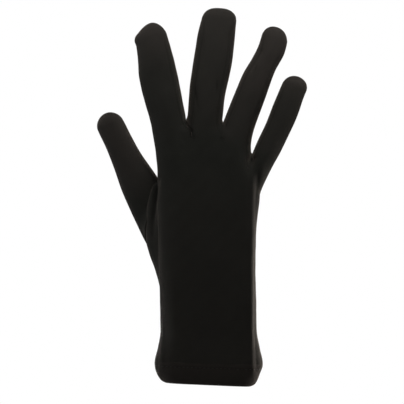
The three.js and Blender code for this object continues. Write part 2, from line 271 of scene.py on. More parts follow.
def fingerPlace(finger, p):
    # how far along the finger's line each point lies, and how far to its right
    dx, dz = p[..., 0] - finger["base"][0], p[..., 2] - finger["base"][1]
    return [dx * finger[key][0] + dz * finger[key][1] for key in ("way", "side")]


def fingerField(finger, p):
    along, across = fingerPlace(finger, p)
    left, right, depth = readTable(finger["table"], along)
    wide = np.abs(across - (right - left) / 2) / ((left + right) / 2)
    deep = np.abs(p[..., 1] - fingerMiddle(finger, along)) / depth
    over = (along - finger["length"] + finger["round"]) / finger["round"]
    under = (finger["rows"][0][0] + joins["lowRound"] - along) / joins["lowRound"]
    return (powerSum([wide, deep, over, under], finger["squareness"]) - 1) * depth


def palmField(p):
    return smoothMin(handField(p), foldField(p), joins["fold"])


def rootField(p):
    # the palm and the thumb with a soft fillet between them, which narrows to a sharp crotch at its top
    reach = joins["fillet"] * (1 - smoothStep(*joins["filletEnds"], p[..., 2])) + joins["leastFillet"]
    return smoothMin(palmField(p), fingerField(thumb, p), reach)


def gloveField(p):
    # the hand and its fold, joined softly to the four fingers, which meet each other in sharp crotches
    parts = [fingerField(finger, p) for finger in fingers.values()]
    together = parts[0]
    for part in parts[1:]:
        together = smoothMin(together, part, joins["neighbours"])
    return smoothMin(palmField(p), together, joins["roots"])


def slopeOf(field, p, value):
    steps = np.eye(3) * search["nudge"]
    return np.stack([(field(p + step) - value) / search["nudge"] for step in steps], axis=-1)


def settle(p, field=gloveField, rounds=4):
    # Newton's steps along the field's slope bring every point onto the surface where the field is zero
    for _ in range(rounds):
        value = field(p)
        slope = slopeOf(field, p, value)
        steepness = np.maximum((slope ** 2).sum(-1, keepdims=True), search["leastSlope"])
        step = value[..., None] * slope / steepness
        length = np.linalg.norm(step, axis=-1, keepdims=True)
        p = p - step * np.minimum(1, search["longestStep"] / np.maximum(length, 1e-9))
    return p


def outwardOf(p, field=gloveField):
    slope = slopeOf(field, p, field(p))
    return slope / np.linalg.norm(slope, axis=-1, keepdims=True)


def halveDown(near, far, pointAt, field, rounds):
    # each ray's span between a place inside and one outside, halved down to where the field is zero
    for _ in range(rounds):
        reach = (near + far) / 2
        p = pointAt(reach)
        inside = field(p) < 0
        near, far = np.where(inside, reach, near), np.where(inside, far, reach)
    return p


def rowRun(rows):
    # length run along each row up to each of its points
    steps = np.linalg.norm(np.diff(rows, axis=1), axis=-1)
    return np.concatenate([np.zeros((len(rows), 1)), np.cumsum(steps, axis=1)], axis=1)


def rowShare(rows):
    run = rowRun(rows)
    return run / np.maximum(run[:, -1:], 1e-6)


def resampleRows(rows, shares):
    # each row read again at the given shares of its length; twice its number is added to keep rows apart
    apart = 2 * np.arange(len(rows))[:, None]
    key = rowShare(rows) + apart
    wanted = np.broadcast_to(shares, (len(rows), np.shape(shares)[-1])) + apart
    read = [np.interp(wanted.ravel(), key.ravel(), rows[..., axis].ravel()) for axis in range(3)]
    return np.stack(read, axis=-1).reshape(wanted.shape + (3,))


def meetEdges(rows, start, end, share=None):
    # rows shifted to start and end on two given lines, with the shift passing evenly from one to the other
    share = (rowShare(rows) if share is None else share)[..., None]
    return rows + (start - rows[:, 0])[:, None] * (1 - share) + (end - rows[:, -1])[:, None] * share


def closed(values, axis=0):
    # the first row or column comes again after the last
    return np.concatenate([values, np.take(values, [0], axis=axis)], axis=axis)


def smoothRing(values, rounds):
    for _ in range(rounds):
        values = (np.roll(values, 1) + 2 * values + np.roll(values, -1)) / 4
    return values


def seamDepth(height, end):
    # the side seams lie at the front corners of the hand and cross to its middle below the fingers
    left, right, depth = readTable(hand["table"], height)
    x = readTable(seamTables[end], height)[0]
    across = np.clip(np.abs(x - (left + right) / 2) / ((right - left) / 2), 0, 1)
    power = frontPower(height)
    corner = np.maximum(depth * (1 - across ** power) ** (1 / power), sewing["leastDepth"])
    return corner * (1 - smoothStep(*sewing["crossing"], height))


def castRing(heights, angles, field=palmField):
    # rays in each level's plane, out from the middle of the hand
    left, right, _ = readTable(hand["table"], heights)
    middle = ((left + right) / 2)[:, None]

    def pointAt(reach):
        x = middle + reach * np.cos(angles)
        return np.stack([x, reach * np.sin(angles), levelZ(heights[:, None], x)], axis=-1)

    far = np.full_like(angles, search["farthest"])
    return halveDown(np.zeros_like(angles), far, pointAt, field, search["halvings"])


def handArc(heights, side, count=180):
    # from the left seam to the right one, over the back of the hand (side -1) or over the palm (side 1)
    left, right, depth = readTable(hand["table"], heights)
    power = frontPower(heights)
    leans = []
    for end in (0, 1):
        y = seamDepth(heights, end)
        reach = (right - left) / 2 * (1 - (y / depth) ** power) ** (1 / power)
        leans.append(np.arctan2(y, reach)[:, None])
    return castRing(heights, blend(side * np.pi + leans[0], -leans[1], np.linspace(0, 1, count)))


def fingerRing(finger, along, angle):
    # superellipse section: angle 0 is its right side and a quarter turn back its front; the end is rounded
    left, right, depth = readTable(finger["table"], along)
    power = finger["squareness"]
    high = np.clip((along - finger["length"] + finger["round"]) / finger["round"], 0, 1)
    low = np.clip((finger["lowEnd"] - along) / joins["lowRound"], 0, 1) if "lowEnd" in finger else 0
    shrink = np.maximum(0, 1 - high ** power - low ** power) ** (1 / power)
    wide, deep = [shrink * np.sign(part) * np.abs(part) ** (2 / power)
                  for part in (np.cos(angle), np.sin(angle))]
    across = (right - left) / 2 + (left + right) / 2 * wide
    return np.stack([finger["base"][0] + finger["way"][0] * along + finger["side"][0] * across,
                     fingerMiddle(finger, along) + depth * deep,
                     finger["base"][1] + finger["way"][1] * along + finger["side"][1] * across], axis=-1)


def stripAngle(finger, along, rise):
    # the forked strips' seams lie at a share of the half width that widens to the whole one near the tip
    runOut = finger["length"] - sewing["runOut"]
    share = (sewing["stripShare"] + sewing["rootWiden"] * np.maximum(0, 1 - rise / sewing["rootOver"])
             + sewing["tipWiden"] * np.maximum(0, (along - runOut) / sewing["tipOver"] + 1) ** 2)
    return np.arccos(np.minimum(share, 1) ** (finger["squareness"] / 2))


# rows and columns of the strips of cloth. Their rows are the hand's level lines low down, and turn into
# the finger's own between the height given here and the fork
grid = {
    "handLevels": 112, "webLevels": 20, "tipLevels": 92, "columns": 42, "sideColumns": 24,
    "forkColumns": 15, "overHem": 0.6, "straightShare": 0.8, "turnFrom": 138, "littleTurnFrom": 112,
    "evenBelow": 40, "sideDepth": 4, "leastAngle": 0.02,
}
mainV, littleV = sewing["forkPoints"][0][1], sewing["forkPoints"][2][1]
lowLevels = np.linspace(hand["hemTop"] - grid["overHem"], littleV, grid["handLevels"])
handLevels = np.concatenate([lowLevels, np.linspace(littleV, mainV, grid["webLevels"] + 1)[1:]])
for name, finger in fingers.items():
    little = name == "little"
    level = finger["levels"] = lowLevels if little else handLevels
    along = (level - finger["base"][1]) / finger["way"][1]
    reach = finger["length"] - along[-1]
    turn = np.linspace(0, 1, grid["tipLevels"] + 1)[1:]
    straight, part = 1 - finger["round"] / reach, grid["straightShare"]
    ahead = np.where(turn < part, turn / part * straight,
                     straight + (1 - straight) * np.sin((turn - part) / (1 - part) * np.pi / 2))
    finger["along"] = np.concatenate([along, along[-1] + reach * ahead])
    weight = smoothStep(grid["littleTurnFrom" if little else "turnFrom"], littleV if little else mainV, level)
    finger["weight"] = np.concatenate([weight, np.ones(grid["tipLevels"])])
    finger["run"] = np.concatenate([level, finger["base"][1] + finger["along"][len(level):]])
for side in (-1, 1):
    arcs = hand["arcs", side] = handArc(handLevels, side)
    share = rowShare(arcs)
    places = [np.zeros(len(handLevels))]
    for j, (x, z) in enumerate(sewing["forkPoints"], start=1):
        # over the back the strips widen evenly towards the hem; over the palm their bounds stay at one x
        on = arcs[..., 1] * side > grid["sideDepth"]
        at = np.array([np.interp(x, arc[over, 0], part[over]) for arc, part, over in zip(arcs, share, on)])
        if side < 0:
            at = at[int(np.argmin(np.abs(handLevels - z)))]
            at = blend(j / 4, at, smoothStep(grid["evenBelow"], z, handLevels))
        places.append(at)
    hand["places", side] = np.stack([*places, np.ones(len(handLevels))], axis=1)


def isOuter(finger, end):
    # whether a strip's left edge (end 0) or right edge (end 1) is a side seam of the whole hand
    return (finger["order"], end) in ((0, 0), (len(names) - 1, 1))


def seamPoints(finger, side, end):
    # one edge of a finger's strip, on the hand's arc low down and on the finger's section higher up
    along, count = finger["along"], len(finger["levels"])
    if isOuter(finger, end):
        edge = fingerRing(finger, along, np.full(len(along), np.pi if end == 0 else 0))
        onHand = resampleRows(hand["arcs", -1], [[float(end)]])[:count, 0]
        edge[:count] = blend(onHand, edge[:count], finger["weight"][:count, None])
    else:
        j = finger["order"] + end
        first = int(np.argmin(np.abs(finger["levels"] - sewing["forkPoints"][j - 1][1])))
        finger["first", end] = first
        edge = np.empty((len(along), 3))
        edge[:count] = resampleRows(hand["arcs", side][:count], hand["places", side][:count, j:j + 1])[:, 0]
        rise = along - along[first]
        angle = stripAngle(finger, along, rise) * side
        free = fingerRing(finger, along, angle if end == 1 else np.pi * side - angle)
        fade = 1 - smoothStep(0, sewing["meetOver"], rise)[:, None]
        edge[first:] = (free + (edge[first] - free[first]) * fade)[first:]
    near = along <= sewing["formulaFrom"]
    edge[near] = settle(edge[near], rounds=6)
    return edge


for finger in fingers.values():
    for side in (-1, 1):
        for end in (0, 1):
            finger["edge", side, end] = seamPoints(finger, side, end)
for j in range(1, 4):  # below their fork both neighbours share the left one's edge
    left, right = fingers[names[j - 1]], fingers[names[j]]
    for side in (-1, 1):
        last = min(left["first", 1], right["first", 0]) + 1
        right["edge", side, 0][:last] = left["edge", side, 1][:last]
print("seam lines ready")


def closeShares(count, near=0.55):
    # shares from 0 to 1 that lie closer together towards both ends
    t = np.linspace(0, 1, count + 1)
    return blend(t, (1 - np.cos(np.pi * t)) / 2, near)


def stripRows(finger, side, columns):
    # rows of a strip: the hand's arc turning into the finger's, bent to meet both seams, laid onto the glove
    order, along, count = finger["order"], finger["along"], len(finger["levels"])
    shares = closeShares(columns)
    ends = []
    for end in (0, 1):
        rise = np.maximum(along - along[finger.get(("first", end), 0)], 0)
        ends.append(np.zeros(len(along)) if isOuter(finger, end) else stripAngle(finger, along, rise) * side)
    even = np.linspace(0, 1, 4 * columns + 1)
    turn = blend((side * np.pi - ends[0])[:, None], ends[1][:, None], even)
    plain = resampleRows(fingerRing(finger, along[:, None], turn), shares[None])
    places = hand["places", side][:count]
    spread = blend(places[:, order:order + 1], places[:, order + 1:order + 2], shares)
    arcs = resampleRows(hand["arcs", side][:count], spread)
    rows = plain.copy()
    rows[:count] = blend(arcs, rows[:count], finger["weight"][:count, None, None])
    edges = finger["edge", side, 0], finger["edge", side, 1]
    rows = settle(meetEdges(rows, *edges), rounds=3)
    for _ in range(2):
        rows = resampleRows(meetEdges(rows, *edges), shares[None])
        rows[:, 1:-1] = settle(rows[:, 1:-1], rounds=3)
    rows[:, 0], rows[:, -1] = edges
    far = along > sewing["formulaFrom"]
    rows[far] = plain[far]
    return rows


for finger in fingers.values():
    for side in (-1, 1):
        wide = side > 0 and (isOuter(finger, 0) or isOuter(finger, 1))
        finger["rows", side] = stripRows(finger, side, grid["columns"] + wide * grid["sideColumns"])
print("strips ready")


def castFan(origin, way, angles):
    # rays in the upright plane through a crotch, from its front point over the top to its palm point,
    # walked out in small steps to the first place outside the glove and then halved down
    aim = np.sin(angles)[:, None] * way - np.cos(angles)[:, None] * np.array([0, 1, 0])
    walk = np.arange(0, search["fanReach"], search["fanStep"])
    outside = gloveField(origin + walk[None, :, None] * aim[:, None]) > 0
    far = walk[np.argmax(outside, axis=1)]
    return halveDown(far - search["fanStep"], far, lambda reach: origin + reach[:, None] * aim,
                     gloveField, search["fanHalvings"])


def forkBand(finger, end, ridge):
    # rows from the crotch's ridge line out along the finger's side, between the front and the palm seams
    first = finger["first", end]
    along = finger["along"][first:]
    last = int(np.argmax(stripAngle(finger, along, along - along[0]) < grid["leastAngle"])) + 1
    along = along[:last]
    rise = along - along[0]
    angle = stripAngle(finger, along, rise)[:, None]
    t = np.linspace(0, 1, len(ridge))
    turn = (2 * t - 1) * angle if end else angle * (1 - 2 * t) - np.pi
    shift = np.maximum(0, fingerPlace(finger, ridge)[0] - along[0])
    rows = fingerRing(finger, along[:, None] + shift * (1 - rise / rise[-1])[:, None], turn)
    fade = 1 - smoothStep(0, sewing["meetOver"], rise)[:, None, None]
    front, palm = [finger["edge", side, end][first:first + last] for side in (-1, 1)]
    rows = meetEdges(rows + (ridge - rows[0])[None] * fade, front, palm, t)
    near = along <= sewing["formulaFrom"]
    rows[near] = settle(rows[near], rounds=4)
    rows[0] = ridge
    rows[:, 0], rows[:, -1] = front, palm
    return rows


forks = {}
for j, (x, z) in enumerate(sewing["forkPoints"], start=1):
    left, right = fingers[names[j - 1]], fingers[names[j]]
    front, palm = [left["edge", side, 1][left["first", 1]] for side in (-1, 1)]
    lean = np.subtract(sewing["crotches"][j - 1], (x, z))
    way = np.array([lean[0], 0, lean[1]]) / np.hypot(*lean)
    t = np.linspace(0, 1, grid["forkColumns"] + 1)
    ridge = castFan(np.array([x, (front[1] + palm[1]) / 2, z]), way, t * np.pi)
    ridge = settle(resampleRows(ridge[None], t[None])[0])
    ridge[0], ridge[-1] = front, palm
    forks[j] = [forkBand(left, 1, ridge), forkBand(right, 0, ridge)]
print("forked strips ready")

# the thumb's tube, the hole it is set in and the seam between the two
thumbLook = {
    "rings": 84, "around": 132, "samples": 300, "crowding": 0.85, "bodyShare": 0.82, "overlap": 1.9,
    "settleWithin": 6, "edgeBlur": 4, "holeCut": 1.6, "nearHole": (-2.5, 5), "holeBelow": 150,
    "holeDip": (0.4, 0.5), "roll": (0.45, 1.5), "groove": (0.4, 0.4),
}


def thumbRows(look):
    # the thumb's tube, each of its lengthwise lines starting just inside the place where it leaves the palm;
    # the lines lie closer together beside the palm, where their starts are farthest apart
    turn = np.linspace(0, 2 * np.pi, look["around"] + 1)[:-1]
    angle = (turn - look["crowding"] * np.sin(turn))[:, None]
    reach = thumb["length"] - thumb["round"]
    along = np.linspace(thumb["rows"][0][0], reach, look["samples"])
    hidden = palmField(fingerRing(thumb, along[None], angle)) < -look["overlap"]
    last = np.where(hidden.any(axis=1), len(along) - 1 - np.argmax(hidden[:, ::-1], axis=1), 0)
    start = smoothRing(along[last], 4)[:, None]
    t, part = np.linspace(0, 1, look["rings"] + 1), look["bodyShare"]
    tip = np.sin(np.clip((t - part) / (1 - part), 0, 1) * np.pi / 2) * thumb["round"]
    place = start + (reach - start) * np.minimum(t / part, 1) + tip
    return fingerRing(thumb, place, angle).transpose(1, 0, 2), place.T


def filletShare(p):
    # the fillet is on the side of the back of the hand, and fades towards the crotch and round to the palm
    return ((1 - smoothStep(*joins["filletEnds"], p[..., 2]))
            * (1 - smoothStep(*joins["filletDepths"], p[..., 1])))


# the thumb and the palm both settle onto the filleted surface, where the thumb's edge lies on the palm;
# beside the palm the thumb's tube runs straight into it
thumbTube, thumbPlace = thumbRows(thumbLook)
near = (palmField(thumbTube) < thumbLook["settleWithin"]) * filletShare(thumbTube)
thumbSkin = thumbTube + (settle(thumbTube, rootField, rounds=5) - thumbTube) * near[..., None]
edgeValues = smoothRing(fingerField(thumb, thumbSkin[0]), 3)
print("thumb ready")


def beyondEdge(p):
    # how far past the thumb's edge a point lies, against the value of the thumb's field at the edge nearby
    far = ((p[..., None, :] - thumbSkin[0]) ** 2).sum(-1)
    weight = np.exp(-(far - far.min(axis=-1, keepdims=True)) / thumbLook["edgeBlur"])
    return fingerField(thumb, p) - (weight * edgeValues).sum(-1) / weight.sum(-1)


def gridFaces(rows, columns, loop=False):
    # quads of a grid of points numbered row by row; with loop the last column joins the first
    i, j = np.meshgrid(np.arange(rows - 1), np.arange(columns if loop else columns - 1), indexing="ij")
    k = (j + 1) % columns
    low, high = i * columns, (i + 1) * columns
    return np.stack([low + j, low + k, high + k, high + j], axis=-1).reshape(-1, 4)


def turnOut(rows, faces, away):
    # a whole grid is turned at once, by the side that most of its faces lie on
    corners = rows.reshape(-1, 3)[faces]
    normal = np.cross(corners[:, 2] - corners[:, 0], corners[:, 3] - corners[:, 1])
    return faces if (normal * away(corners.mean(axis=1))).sum() > 0 else faces[:, ::-1]


def weld(shape):
    bmesh.ops.remove_doubles(shape, verts=shape.verts, dist=0.00002)
    bmesh.ops.dissolve_degenerate(shape, edges=shape.edges, dist=0.00001)


def faceOut(shape):
    bmesh.ops.recalc_face_normals(shape, faces=shape.faces)


def editMesh(mesh, step):
    shape = bmesh.new()
    shape.from_mesh(mesh)
    step(shape)
    shape.to_mesh(mesh)
    shape.free()


def makePiece(name, points, faces, uv, shades, material, wall=0, sharpAngle=48):
    # points in mm; the wall is grown inwards, and only real corners keep a hard edge
    mesh = bpy.data.meshes.new(name)
    mesh.from_pydata((points * millimetre).tolist(), [], faces.tolist())
    mesh.uv_layers.new(name="UVMap").data.foreach_set("uv", uv[faces.ravel()].astype(np.float32).ravel())
    # the first is painted shade in seams, creases and crotches, the second painted light, partly lint
    for key, values in zip(("paintedCreaseShade", "worn"), shades.T):
        mesh.attributes.new(key, "FLOAT", "POINT").data.foreach_set("value", values.astype(np.float32))
    editMesh(mesh, weld)
    piece = linkObject(name, mesh)
    if wall:
        solid = piece.modifiers.new("wall", "SOLIDIFY")
        solid.thickness = wall * millimetre
        solid.offset = -1
        graph = bpy.context.evaluated_depsgraph_get()
        made = bpy.data.meshes.new_from_object(piece.evaluated_get(graph))
        piece.modifiers.clear()
        piece.data = made
    piece.data.shade_smooth()
    piece.data.set_sharp_from_angle(angle=np.radians(sharpAngle))
    piece.data.materials.append(material)
    return piece


def operator(operation):
    return lambda self, *others: self.math(operation, self, *others)


class Link:
    # a shader socket that can be added, multiplied and so on

    def __init__(self, shader, socket):
        self.shader, self.socket = shader, socket

    def math(self, operation, *values):
        return self.shader.node("ShaderNodeMath", {"operation": operation}, dict(enumerate(values)))

    def __rsub__(self, other):
        return self.math("SUBTRACT", other, self)

    __add__, __sub__, __mul__ = map(operator, ("ADD", "SUBTRACT", "MULTIPLY"))
    __truediv__, __pow__, __abs__ = map(operator, ("DIVIDE", "POWER", "ABSOLUTE"))


class Shader:
    # a node material or world; node() makes a node from its type, its settings and its sockets' values or
    # links, and close() fills in the sockets of the node that is there from the start

    def __init__(self, name, kind=bpy.data.materials):
        self.data = kind.new(name)
        self.data.use_nodes = True
        self.nodes = self.data.node_tree.nodes

    def fill(self, made, sockets):
        for key, value in sockets.items():
            if isinstance(value, Link):
                self.data.node_tree.links.new(value.socket, made.inputs[key])
            else:
                made.inputs[key].default_value = value

    def close(self, last, sockets):
        self.fill(self.nodes[last], sockets)
        return self.data

    def node(self, kind, settings=None, sockets=None, output=0):
        made = self.nodes.new(kind)
        for key, value in (settings or {}).items():
            if key == "stops":
                for element, (place, colour) in zip(made.color_ramp.elements, value):
                    element.position, element.color = place, colour
            else:
                setattr(made, key, value)
        self.fill(made, sockets or {})
        return Link(self, made.outputs[output])

    def noise(self, scale, detail, roughness=0.5):
        return self.node("ShaderNodeTexNoise", None, {
            "Vector": self.node("ShaderNodeTexCoord", output=3),
            "Scale": scale, "Detail": detail, "Roughness": roughness})

    def bump(self, height, strength):
        return self.node("ShaderNodeBump", None, {"Height": height, "Strength": strength, "Distance": 1})

    def mixColour(self, share, first, second):
        sockets = {"Factor": share, 6: first, 7: second}
        return self.node("ShaderNodeMix", {"data_type": "RGBA"}, sockets, output=2)


# the lightest colour here, mixed in towards the tips, is painted light, and the darkest is painted shade for
# seams, creases and crotches; the gap and lint colours are the knit's own
knitLook = {
    "colour": (0.0113, 0.0124, 0.0112, 1), "gapColour": (0.0058, 0.0064, 0.0058, 1),
    "lintColour": (0.0162, 0.017, 0.0152, 1), "paintedLightColour": (0.0246, 0.022, 0.0208, 1),
    "paintedShadeColour": (0.0024, 0.0024, 0.0022, 1), "roughness": 0.9, "specular": 0.05,
    "wale": 1.1, "course": 0.86, "slant": 1.4, "loopDepth": 0.1, "bump": 0.9,
    "cloudScale": 38, "fluffScale": 1500, "lint": 0.5, "lintFrom": 0.42, "lintTo": 0.72,
    "sheen": 0.08, "sheenRoughness": 0.4, "sheenTint": (1, 0.88, 0.78, 1),
}
hemLook = dict(knitLook, colour=(0.0164, 0.0152, 0.0137, 1), course=0.82, wale=1.05)


def makeKnit(name, look):
    # stockinette: every wale is a chain of two slanting legs, so rows of loops read as small Vs
    shader = Shader(name)
    place = shader.node("ShaderNodeUVMap", {"uv_map": "UVMap"})
    split = shader.node("ShaderNodeSeparateXYZ", None, {0: place})
    across = split / look["wale"]
    up = Link(shader, split.socket.node.outputs[1]) / look["course"]
    wave = across.math("FRACT", across) - 0.5
    leg = 1 - abs(abs(wave) - 0.25) * 4
    slant = up + abs(wave) * look["slant"]
    bead = up.math("SINE", slant * (2 * np.pi)) * 0.5 + 0.5
    loops = leg ** 0.6 * (bead * 0.55 + 0.45)
    cloud = shader.noise(look["cloudScale"], 3)
    fluff = shader.noise(look["fluffScale"], 3, 0.7)
    cloth = shader.mixColour(loops * 0.8 + 0.2, look["gapColour"], look["colour"])
    stops = [(look["lintFrom"], (0, 0, 0, 1)), (look["lintTo"], (1, 1, 1, 1))]
    lint = shader.node("ShaderNodeValToRGB", {"stops": stops}, {0: cloud * 0.5 + fluff * 0.5})
    cloth = shader.mixColour(lint * look["lint"], cloth, look["lintColour"])
    # painted light lightens the knit towards the tips and the wrist, and painted shade darkens it in seams,
    # creases and crotches
    worn, paintedCreaseShade = [shader.node("ShaderNodeAttribute", {"attribute_name": key}, output=2)
                    for key in ("worn", "paintedCreaseShade")]
    cloth = shader.mixColour(worn * (fluff * 0.6 + 0.7), cloth, look["paintedLightColour"])
    cloth = shader.mixColour(paintedCreaseShade, cloth, look["paintedShadeColour"])
    height = (loops + fluff * 0.5) * (look["loopDepth"] * millimetre)
    return shader.close("Principled BSDF", {
        "Base Color": cloth, "Roughness": look["roughness"], "Normal": shader.bump(height, look["bump"]),
        "Sheen Weight": look["sheen"], "Sheen Roughness": look["sheenRoughness"],
        "Sheen Tint": look["sheenTint"], "Specular IOR Level": look["specular"]})


knit = makeKnit("knit", knitLook)
hemKnit = makeKnit("hemKnit", hemLook)
print("materials ready")

# creases (negative) and ridges on the back of the hand: points (x, z, depth) and half width, in mm,
# and the lines of painted shade where cloth meets in seams, crotches, creases and the valley by the thumb:
# points (x, z, strength) and half width
reliefLook = {
    "creases": [
        ([(-14.5, 173.4, -0.45), (-10.2, 168.6, -0.35), (-9.6, 166.8, 0)], 1),
        ([(35, 220.4, -0.8), (30.4, 210.5, -0.8), (28.6, 206, 0)], 1.6),
        ([(34.2, 213.5, 0), (31.6, 206, 0.5), (30.6, 200, 0)], 1.7),
        ([(-9.9, 206, 0), (-7.9, 192, -0.45), (-5, 177, 0)], 1.5),
        ([(5.9, 205, 0), (5.9, 198, -0.4), (5.7, 190, 0)], 1.2),
        ([(54.4, 202.4, -0.4), (60.7, 201.9, -0.4)], 1.1),
        ([(29.5, 151.9, -0.5), (29.6, 147.6, -0.3)], 1.3),
        ([(23, 150, 0), (27, 149.6, -0.4), (31.6, 150.6, -0.4)], 1.2),
        ([(29, 142, 0), (29.2, 132, 0.5), (29, 104, 0.3), (29, 90, 0)], 1.4),
        ([(33.4, 146, 0), (32.5, 134, -1), (32, 116, -0.9), (31.4, 102, 0)], 1.7),
        ([(28.2, 106, 0), (27.9, 92, 0.8), (27.8, 40, 1.1), (28.1, 18, 0.8), (28.4, 9, 0.2)], 1.7),
        ([(30.9, 106, 0), (30.9, 92, -0.8), (30.8, 40, -1), (31.2, 27, -0.5), (31.4, 16, -0.3),
          (31.2, 4, 0)], 1.3),
        ([(-29.4, 46, 0), (-29.3, 30, 0.6), (-29.9, 17, 0.3), (-30, 6, 0)], 1.5),
        ([(-31.6, 44, 0), (-31.9, 30, -0.5), (-32.6, 18, -0.3), (-32.2, 6, 0)], 1.3),
        ([(-33.9, 136, -2.6), (-35.4, 124, -3), (-36.4, 110, -1.9), (-36.6, 98, -0.6),
          (-36, 88, 0)], 2.1),
    ],
    "lines": [
        ([(-14.3, 173.2, 0.9), (-10.1, 168.4, 0.9), (-9.7, 166.4, 0.2)], 0.8),
        ([(-11.3, 167.6, 0.55), (-11.1, 164.8, 0.55)], 0.8),
        ([(-10.3, 165, 0.3), (-9.4, 164.2, 0.5), (-9.1, 163.2, 0.4)], 0.9),
        ([(8.6, 163.4, 0.5), (10, 163.2, 0.5)], 0.9),
        ([(29.3, 151.4, 1), (29.6, 149.4, 0.8)], 1.2),
        ([(23.6, 150.4, 0), (27.5, 149.9, 0.6), (31.4, 151, 0.2)], 0.9),
        ([(-9.4, 203, 0), (-8, 192, 0.5), (-5.6, 180, 0)], 0.8),
        ([(5.9, 204, 0), (5.9, 198, 0.5), (5.9, 192, 0)], 0.7),
        ([(33.2, 214, 0), (31.4, 209.5, 0.5), (29.6, 205, 0)], 0.9),
        ([(-14.3, 173.6, 0.6), (-13.4, 171.6, 0.3)], 2),
        ([(9.8, 174, 0.8), (9.8, 172.4, 0.7), (9.8, 170.6, 0.2)], 2.2),
        ([(28.7, 151.8, 0.5), (29, 149, 0.3)], 1.9),
        ([(34, 146, 0.1), (34.4, 132, 0.55), (33.8, 118, 0.45), (33, 106, 0)], 2.2),
        ([(-34.2, 135, 0.5), (-35.4, 124, 0.45), (-36.2, 110, 0.3), (-35.8, 98, 0)], 2.2),
    ],
    "ear": ([(-48.4, 231), (-47.6, 227.8)], 2.1, 0.95),
    "frontFade": 1.5, "unevenness": 0.14, "fluff": 0.22,
    # how deep, dark with painted shade, or high each is at its middle, and half its width
    "seam": (0.17, 0.8), "seamShade": (0.24, 0.45), "roll": (0.42, 1.3), "rollGroove": (0.16, 0.45),
    # the heights where the left and the right roll fade out, and where the right seam shows again
    "rollEnds": ((128, 146), (100, 116)), "rightSeamAgain": (150, 170),
}


def segmentDistance(flat, start, end):
    start, end = np.array(start, float), np.array(end, float)
    way = end - start
    t = np.clip(((flat - start) @ way) / (way @ way), 0, 1)
    return np.linalg.norm(flat - start - t[..., None] * way, axis=-1), t


def bells(p, lines):
    # for each line a bell across its nearest stretch, as high as the line's value there
    flat = p[..., [0, 2]]
    total = np.zeros(p.shape[:-1])
    for points, width in lines:
        nearest, value = np.full(p.shape[:-1], 1e6), np.zeros(p.shape[:-1])
        for start, end in zip(points[:-1], points[1:]):
            far, t = segmentDistance(flat, start[:2], end[:2])
            closer = far < nearest
            nearest = np.where(closer, far, nearest)
            value = np.where(closer, blend(start[2], end[2], t), value)
        total += bell(nearest, value, width)
    return total


def frontShare(away):
    # 1 where the surface faces the back of the hand's side, down to 0 where it faces sideways
    return np.clip(-away[..., 1] * reliefLook["frontFade"], 0, 1)


def relief(p, away):
    # creases on the back, the bump at the index finger's tip, and a slow unevenness of a few crossed waves
    points, width, depth = reliefLook["ear"]
    x, y, z = np.moveaxis(p, -1, 0)
    bump = bell(segmentDistance(p[..., [0, 2]], *points)[0], depth, width)
    slow = (np.sin(x * 0.21 + z * 0.067 + 1.3) * np.sin(z * 0.11 - x * 0.05 + y * 0.1)
            + 0.6 * np.sin(x * 0.47 - z * 0.19 + y * 0.31 + 0.7) * np.sin(z * 0.29 + 0.4))
    return bells(p, reliefLook["creases"]) * frontShare(away) + bump + reliefLook["unevenness"] * slow


def seamShade(far):
    # painted shade along a seam, darkest on its line
    return bell(far, *reliefLook["seamShade"])


def seamDip(far):
    return -bell(far, *reliefLook["seam"])


def seamRoll(far, height, end):
    # the side seams of the hand stand up in a soft roll that fades out where they cross to its sides
    fade = 1 - smoothStep(*reliefLook["rollEnds"][end], height)
    later = smoothStep(*reliefLook["rightSeamAgain"], height) if end else 1 - fade
    roll, groove = [bell(far, *reliefLook[key]) for key in ("roll", "rollGroove")]
    return (roll - groove) * fade + seamDip(far) * later


def raised(p, dip, shade, name, run):
    # points moved out by relief, seams and fluff, with their painted crease shade and their painted light,
    # partly lint
    away = outwardOf(p)
    moved = p + away * (relief(p, away) + dip + reliefLook["fluff"])[..., None]
    # painted light, partly lint, lighter towards the tips
    light = np.broadcast_to(readTable(paintedLightTables[name], run)[0], p.shape[:-1])
    # painted shade along seams, crotches, creases and the valley by the thumb
    dark = bells(p, reliefLook["lines"]) * frontShare(away) + shade
    return moved, np.stack([np.clip(dark, 0, 1), light], axis=-1)


def joinGrids(grids, maps, away=outwardOf):
    # grids of (points, shades) become lists of points, of quads turned outwards, of map places and of shades
    faces, start = [], 0
    for rows, _ in grids:
        faces.append(turnOut(rows, gridFaces(*rows.shape[:2]), away) + start)
        start += rows.shape[0] * rows.shape[1]
    return (np.concatenate([rows.reshape(-1, 3) for rows, _ in grids]), np.concatenate(faces),
            np.concatenate([places.reshape(-1, 2) for places in maps]),
            np.concatenate([shades.reshape(-1, 2) for _, shades in grids]))


def seamShare(finger, end):
    # how deep the seam at one edge is along the finger: inner seams start at their fork's point
    if isOuter(finger, end):
        return np.ones(len(finger["along"]))
    return smoothStep(0, sewing["meetOver"], finger["along"] - finger["along"][finger["first", end]])


# walls and the widths that the panels' maps spread over, in mm
fabric = {"wall": 1.15, "forkWall": 1.1, "mapWidths": {-1: 76, 1: 104}, "thumbMap": 78}


def stripMap(finger, side, rows):
    # across: shares of the hand's arc low down, lengths from the finger's middle higher up; up: its run
    order, count, run = finger["order"], len(finger["levels"]), rowRun(rows)
    places = (hand["places", side][:count] - 0.5) * fabric["mapWidths"][side]
    low, high = places[:, order:order + 1], places[:, order + 1:order + 2]
    across = (low[-1] + high[-1]) / 2 + run - run[:, -1:] / 2
    onHand = blend(low, high, rowShare(rows)[:count])
    across[:count] = blend(onHand, across[:count], finger["weight"][:count, None])
    return np.stack([across, np.broadcast_to(finger["run"][:, None], across.shape)], axis=-1)


